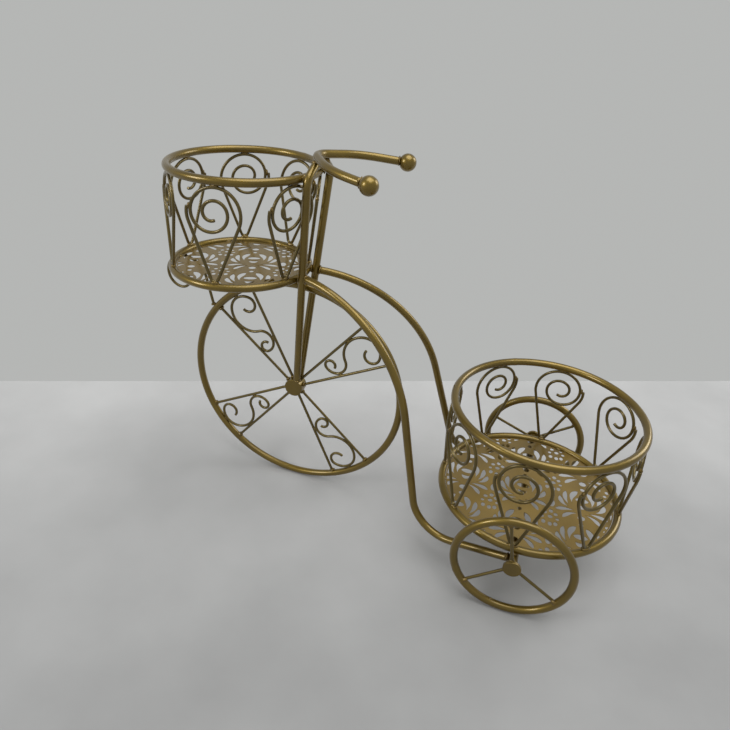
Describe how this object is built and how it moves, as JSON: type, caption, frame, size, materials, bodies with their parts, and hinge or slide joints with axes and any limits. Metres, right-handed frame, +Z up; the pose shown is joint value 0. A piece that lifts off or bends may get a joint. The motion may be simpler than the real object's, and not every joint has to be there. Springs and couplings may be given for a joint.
{
  "type": "bicycle planter",
  "caption": "Wire-and-tube plant stand shaped like a tricycle, with round scrollwork baskets over a large front wheel and between small rear wheels.",
  "frame": {"origin": "on the floor under the middle of the bounding box", "axes": "-X is the front of the bicycle, along its length; +Z is up; -Y is the rider's left side"},
  "size_m": [0.5317, 0.2252, 0.3916],
  "materials": {
    "tube_gold": "satin",
    "wire_gold": "satin",
    "sheet_gold": "satin"
  },
  "bodies": {
    "stand": {"fork_rod_left": "tube_gold", "fork_rod_right": "tube_gold", "frame_tube_left": "tube_gold", "frame_tube_right": "tube_gold", "front_basket_bottom_ring": "tube_gold", "front_basket_floor": "sheet_gold", "front_basket_scroll_1": "wire_gold", "front_basket_scroll_2": "wire_gold", "front_basket_scroll_3": "wire_gold", "front_basket_scroll_4": "wire_gold", "front_basket_scroll_5": "wire_gold", "front_basket_scroll_6": "wire_gold", "front_basket_scroll_7": "wire_gold", "front_basket_top_ring": "tube_gold", "front_hub": "tube_gold", "front_rim": "tube_gold", "front_spoke_1a": "wire_gold", "front_spoke_1b": "wire_gold", "front_spoke_2a": "wire_gold", "front_spoke_2b": "wire_gold", "front_spoke_3a": "wire_gold", "front_spoke_3b": "wire_gold", "front_spoke_4a": "wire_gold", "front_spoke_4b": "wire_gold", "front_wheel_scroll_1": "wire_gold", "front_wheel_scroll_2": "wire_gold", "front_wheel_scroll_3": "wire_gold", "front_wheel_scroll_4": "wire_gold", "grip_ball_left": "tube_gold", "grip_ball_right": "tube_gold", "handlebar": "tube_gold", "rear_axle": "tube_gold", "rear_basket_bottom_ring": "tube_gold", "rear_basket_floor": "sheet_gold", "rear_basket_scroll_1": "wire_gold", "rear_basket_scroll_2": "wire_gold", "rear_basket_scroll_3": "wire_gold", "rear_basket_scroll_4": "wire_gold", "rear_basket_scroll_5": "wire_gold", "rear_basket_scroll_6": "wire_gold", "rear_basket_scroll_7": "wire_gold", "rear_basket_scroll_8": "wire_gold", "rear_basket_top_ring": "tube_gold", "scroll_brace": "wire_gold"},
    "rear_wheel_left": {"rear_hub_left": "tube_gold", "rear_rim_left": "tube_gold", "rear_spoke_left_1": "wire_gold", "rear_spoke_left_2": "wire_gold", "rear_spoke_left_3": "wire_gold"},
    "rear_wheel_right": {"rear_hub_right": "tube_gold", "rear_rim_right": "tube_gold", "rear_spoke_right_1": "wire_gold", "rear_spoke_right_2": "wire_gold", "rear_spoke_right_3": "wire_gold"}
  },
  "joints": [
    {"name": "rear_wheel_left_turn", "type": "hinge", "parent": "stand", "child": "rear_wheel_left", "pos_m": [0.16608, -0.1086, 0.06], "axis": [0, 1, 0], "continuous": true},
    {"name": "rear_wheel_right_turn", "type": "hinge", "parent": "stand", "child": "rear_wheel_right", "pos_m": [0.16608, 0.1086, 0.06], "axis": [0, 1, 0], "continuous": true}
  ]
}
